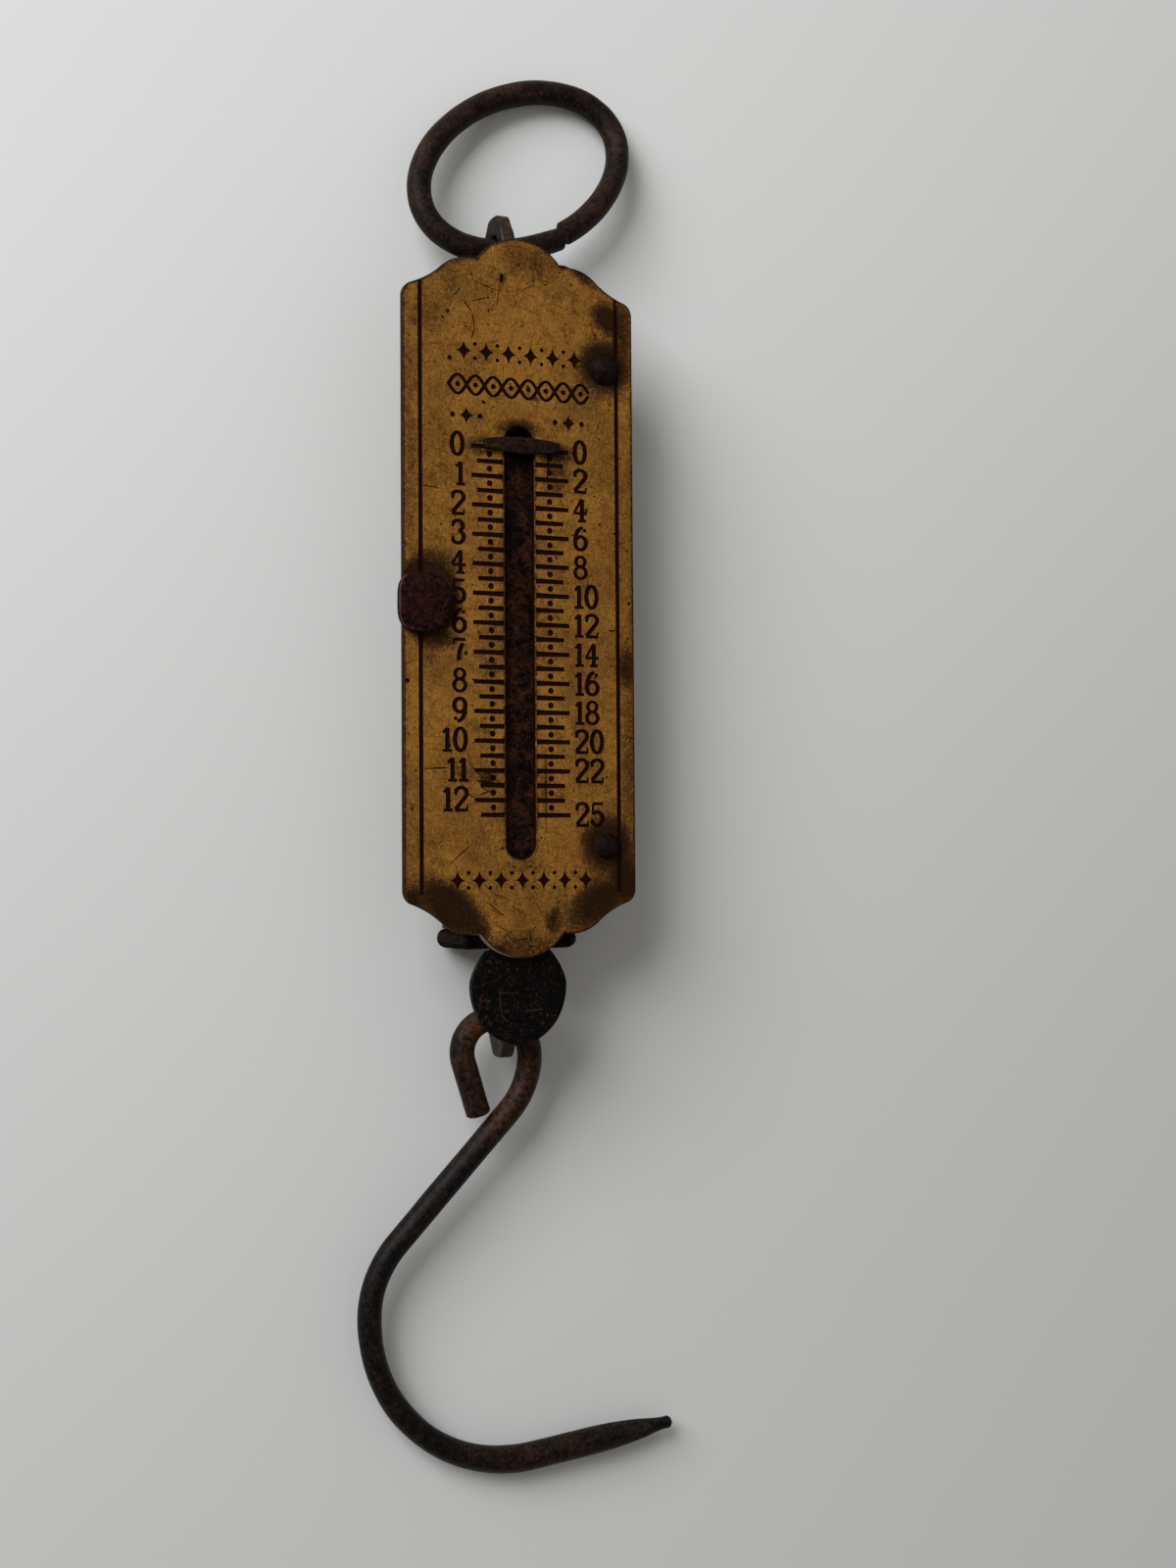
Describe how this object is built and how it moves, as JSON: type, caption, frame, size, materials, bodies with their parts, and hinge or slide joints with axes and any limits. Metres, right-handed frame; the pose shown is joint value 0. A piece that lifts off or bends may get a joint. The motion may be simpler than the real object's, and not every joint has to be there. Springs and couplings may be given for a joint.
{
  "type": "pocket spring balance",
  "caption": "Slim hand-held spring balance with a slotted brass face, sliding pointer, hanging ring and load hook.",
  "frame": {"origin": "on the back of the case, under the middle of the face plate, where the case lies on a table", "axes": "+Y from the hook towards the ring, +Z out of the face, +X to the right of someone who reads the scale with the ring at the top"},
  "size_m": [0.0527, 0.2213, 0.018],
  "materials": {
    "face_brass": "aged, stained brass sheet with stamped marks",
    "case_iron": "blackened sheet iron with light rust",
    "rivet_iron": "blackened iron, worn on top",
    "side_rivet_iron": "maroon brown patina",
    "lug_iron": "forged iron with rust",
    "spring_steel": "dull oiled spring steel",
    "bar_iron": "reddish brown iron, speckled",
    "pointer_iron": "greyish brown iron",
    "wire_iron": "dark iron wire with rust in the low places",
    "hook_iron": "dark iron wire, rusty at the eye"
  },
  "bodies": {
    "case": {"back_trough": "case_iron", "face_plate": "face_brass", "top_cap": "case_iron", "bottom_cap": "case_iron", "top_cap_pins": "case_iron", "bottom_cap_pins": "case_iron", "upper_rivet": "rivet_iron", "lower_rivet": "rivet_iron", "side_rivet": "side_rivet_iron", "ring_lug": "lug_iron", "lug_key": "case_iron", "spring": "spring_steel"},
    "bar": {"draw_bar": "bar_iron", "pointer": "pointer_iron", "pointer_stud": "bar_iron", "hook_lug": "lug_iron", "spring_foot": "bar_iron"},
    "hanger": {"ring": "wire_iron"},
    "load_hook": {"hook": "hook_iron"}
  },
  "joints": [
    {"name": "draw_bar_slide", "type": "slide", "parent": "case", "child": "bar", "axis": [0, -1, 0], "range_m": [0, 0.0572], "stiffness_N_per_m": 2193, "deforming": ["spring"]},
    {"name": "ring_swing", "type": "hinge", "parent": "case", "child": "hanger", "pos_m": [0, 0.05546, 0.0072], "axis": [1, 0, 0], "range_deg": [-98, 115]},
    {"name": "hook_swing", "type": "hinge", "parent": "bar", "child": "load_hook", "pos_m": [0, -0.0647, 0.0072], "axis": [-1, 0, 0], "range_deg": [-130, 54]}
  ]
}
